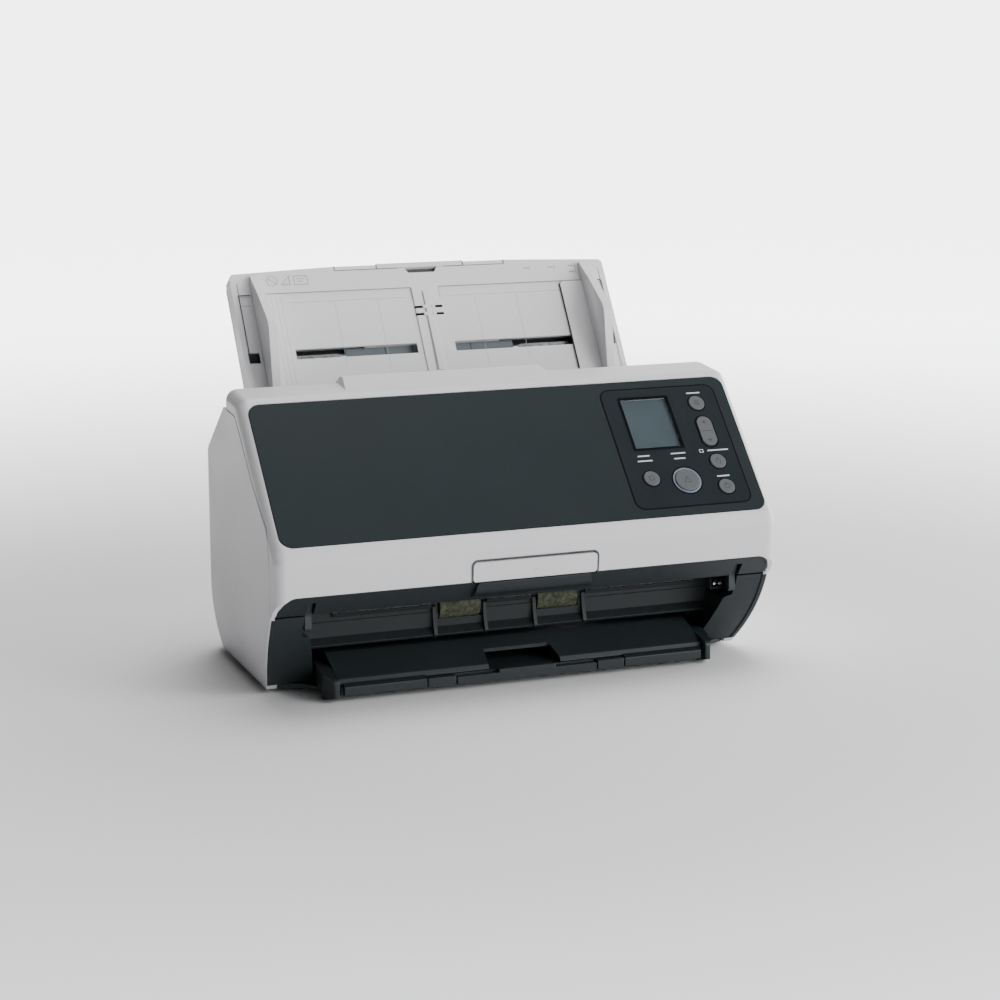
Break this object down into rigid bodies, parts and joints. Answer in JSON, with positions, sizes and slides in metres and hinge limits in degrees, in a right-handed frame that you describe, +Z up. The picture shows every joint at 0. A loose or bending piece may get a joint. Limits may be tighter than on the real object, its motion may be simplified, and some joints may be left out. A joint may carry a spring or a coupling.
{
  "type": "sheet fed document scanner",
  "caption": "Desktop sheet fed document scanner with a sloping key panel, hinged lid, paper chute with side guides and a pull-out stacker.",
  "frame": {"origin": "on the desk, under the middle of the whole object", "axes": "+X to the operator's right, +Y to the back, +Z up"},
  "size_m": [0.3, 0.2033, 0.2202],
  "materials": {
    "light_shell": "fine grained satin",
    "chute_plastic": "fine grained satin",
    "chute_grey": "satin",
    "dark_panel": "fine satin",
    "dark_trim": "fine grained matt",
    "key_grey": "satin",
    "light_ring": "translucent",
    "display_clear": "clear",
    "display_unit": "semi gloss",
    "board": "solder mask",
    "scan_housing": "matt",
    "scan_glass": "clear",
    "roller_rubber": "ground matt",
    "idler_plastic": "satin",
    "belt_rubber": "matt",
    "feet_rubber": "matt",
    "steel": "ground",
    "black_steel": "blackened",
    "plated_sheet": "zinc plated sheet",
    "bush_plastic": "satin",
    "motor_case": "satin",
    "screw_steel": "plated",
    "connector_metal": "plated",
    "connector_black": "matt"
  },
  "bodies": {
    "base": {"side_panel_left": "light_shell", "side_panel_right": "light_shell", "front_bezel": "dark_trim", "base_tray": "dark_trim", "rear_cover": "light_shell", "case_screws": "screw_steel", "rubber_feet": "feet_rubber", "side_frames": "plated_sheet", "hinge_pins": "steel", "shaft_bushes": "bush_plastic", "feed_motor": "motor_case", "drive_belt": "belt_rubber", "pick_belt": "belt_rubber", "main_board": "board", "dc_jack": "connector_black", "usb_socket": "connector_metal", "lan_socket": "connector_metal", "lower_paper_guide": "dark_trim", "lower_scan_unit": "scan_housing", "lower_scan_glass": "scan_glass", "chute_plate": "chute_plastic", "chute_back_cover": "chute_grey", "chute_slide_bars": "steel"},
    "lid": {"lid_shell": "light_shell", "fascia_panel": "dark_panel", "control_bezel": "dark_panel", "display_window": "display_clear", "display_module": "display_unit", "control_board": "board", "scan_light_ring": "light_ring", "lid_inner_guide": "dark_trim", "upper_scan_unit": "scan_housing", "upper_scan_glass": "scan_glass"},
    "latch": {"cover_tab": "light_shell", "latch_bar": "black_steel"},
    "menu_key": {"menu_button": "key_grey"},
    "rocker": {"rocker_key": "key_grey"},
    "feed_key": {"feed_button": "key_grey"},
    "power_key": {"power_button": "key_grey"},
    "stop_key": {"stop_button": "key_grey"},
    "scan_key": {"scan_button": "key_grey"},
    "brake": {"brake_roller": "roller_rubber"},
    "feed_idler_roller": {"feed_idler": "idler_plastic"},
    "eject_idler_roller": {"eject_idler": "idler_plastic"},
    "feed_train": {"feed_shaft": "steel", "feed_rollers": "roller_rubber"},
    "pick_train": {"pick_shaft": "steel", "pick_rollers": "roller_rubber"},
    "eject_train": {"eject_shaft": "steel", "eject_rollers": "roller_rubber"},
    "motor_spindle": {"motor_pulley": "idler_plastic"},
    "guide_left": {"side_guide_left": "chute_plastic"},
    "guide_right": {"side_guide_right": "chute_plastic"},
    "pinion": {"guide_pinion": "idler_plastic"},
    "extension": {"chute_extension": "chute_grey"},
    "extension_end": {"chute_extension_inner": "chute_grey"},
    "stacker": {"stacker_tray": "dark_trim"},
    "stacker_middle": {"stacker_extension": "dark_trim"},
    "stacker_front": {"stacker_end": "dark_trim"}
  },
  "joints": [
    {"name": "lid_hinge", "type": "hinge", "parent": "base", "child": "lid", "pos_m": [0, 0.007, 0.15], "axis": [-1, 0, 0], "range_deg": [0, 75]},
    {"name": "latch_pivot", "type": "hinge", "parent": "lid", "child": "latch", "pos_m": [0, -0.0958, 0.0745], "axis": [-1, 0, 0], "range_deg": [0, 8], "stiffness_Nm_per_rad": 0.3, "springref_deg": -11.46},
    {"name": "menu_press", "type": "slide", "parent": "lid", "child": "menu_key", "axis": [0, 0.712, -0.7022], "range_m": [0, 0.001], "stiffness_N_per_m": 600, "springref_m": -0.0006},
    {"name": "feed_press", "type": "slide", "parent": "lid", "child": "feed_key", "axis": [0, 0.712, -0.7022], "range_m": [0, 0.001], "stiffness_N_per_m": 600, "springref_m": -0.0006},
    {"name": "power_press", "type": "slide", "parent": "lid", "child": "power_key", "axis": [0, 0.712, -0.7022], "range_m": [0, 0.001], "stiffness_N_per_m": 600, "springref_m": -0.0006},
    {"name": "stop_press", "type": "slide", "parent": "lid", "child": "stop_key", "axis": [0, 0.712, -0.7022], "range_m": [0, 0.001], "stiffness_N_per_m": 600, "springref_m": -0.0006},
    {"name": "scan_press", "type": "slide", "parent": "lid", "child": "scan_key", "axis": [0, 0.712, -0.7022], "range_m": [0, 0.001], "stiffness_N_per_m": 600, "springref_m": -0.0006},
    {"name": "rocker_tilt", "type": "hinge", "parent": "lid", "child": "rocker", "pos_m": [0, -0.05383, 0.12894], "axis": [1, 0, 0], "range_deg": [-3, 3], "stiffness_Nm_per_rad": 0.05},
    {"name": "brake_spin", "type": "hinge", "parent": "lid", "child": "brake", "pos_m": [0, 0.01936, 0.12253], "axis": [1, 0, 0], "continuous": true},
    {"name": "feed_idler_spin", "type": "hinge", "parent": "lid", "child": "feed_idler_roller", "pos_m": [0, 0.00632, 0.09995], "axis": [1, 0, 0], "continuous": true},
    {"name": "eject_idler_spin", "type": "hinge", "parent": "lid", "child": "eject_idler_roller", "pos_m": [0, -0.055, 0.05605], "axis": [1, 0, 0], "continuous": true},
    {"name": "motor_spin", "type": "hinge", "parent": "base", "child": "motor_spindle", "pos_m": [0, 0.022, 0.044], "axis": [1, 0, 0], "continuous": true},
    {"name": "feed_spin", "type": "hinge", "parent": "base", "child": "feed_train", "pos_m": [0, 0.01936, 0.09102], "axis": [1, 0, 0], "continuous": true},
    {"name": "pick_spin", "type": "hinge", "parent": "base", "child": "pick_train", "pos_m": [0, 0.03405, 0.11248], "axis": [1, 0, 0], "continuous": true},
    {"name": "eject_spin", "type": "hinge", "parent": "base", "child": "eject_train", "pos_m": [0, -0.0496, 0.0412], "axis": [1, 0, 0], "continuous": true},
    {"name": "left_guide_slide", "type": "slide", "parent": "base", "child": "guide_left", "axis": [1, 0, 0], "range_m": [0, 0.075]},
    {"name": "right_guide_slide", "type": "slide", "parent": "base", "child": "guide_right", "axis": [-1, 0, 0], "range_m": [0, 0.075]},
    {"name": "pinion_spin", "type": "hinge", "parent": "base", "child": "pinion", "pos_m": [0, 0.06713, 0.16981], "axis": [0, -0.8251, 0.565], "range_deg": [-610, 5]},
    {"name": "extension_slide", "type": "slide", "parent": "base", "child": "extension", "axis": [0, 0.565, 0.8251], "range_m": [0, 0.07]},
    {"name": "extension_end_slide", "type": "slide", "parent": "extension", "child": "extension_end", "axis": [0, 0.565, 0.8251], "range_m": [0, 0.06]},
    {"name": "stacker_slide", "type": "slide", "parent": "base", "child": "stacker", "axis": [0, -1, 0], "range_m": [0, 0.075]},
    {"name": "stacker_middle_slide", "type": "slide", "parent": "stacker", "child": "stacker_middle", "axis": [0, -1, 0], "range_m": [0, 0.07]},
    {"name": "stacker_front_slide", "type": "slide", "parent": "stacker_middle", "child": "stacker_front", "axis": [0, -1, 0], "range_m": [0, 0.07]}
  ],
  "couplings": [
    {"joint": "right_guide_slide", "follows": "left_guide_slide", "ratio": 1},
    {"joint": "pinion_spin", "follows": "left_guide_slide", "rad_per_m": -139.86},
    {"joint": "feed_spin", "follows": "motor_spin", "ratio": 1},
    {"joint": "pick_spin", "follows": "motor_spin", "ratio": 1},
    {"joint": "eject_spin", "follows": "motor_spin", "ratio": 1}
  ]
}
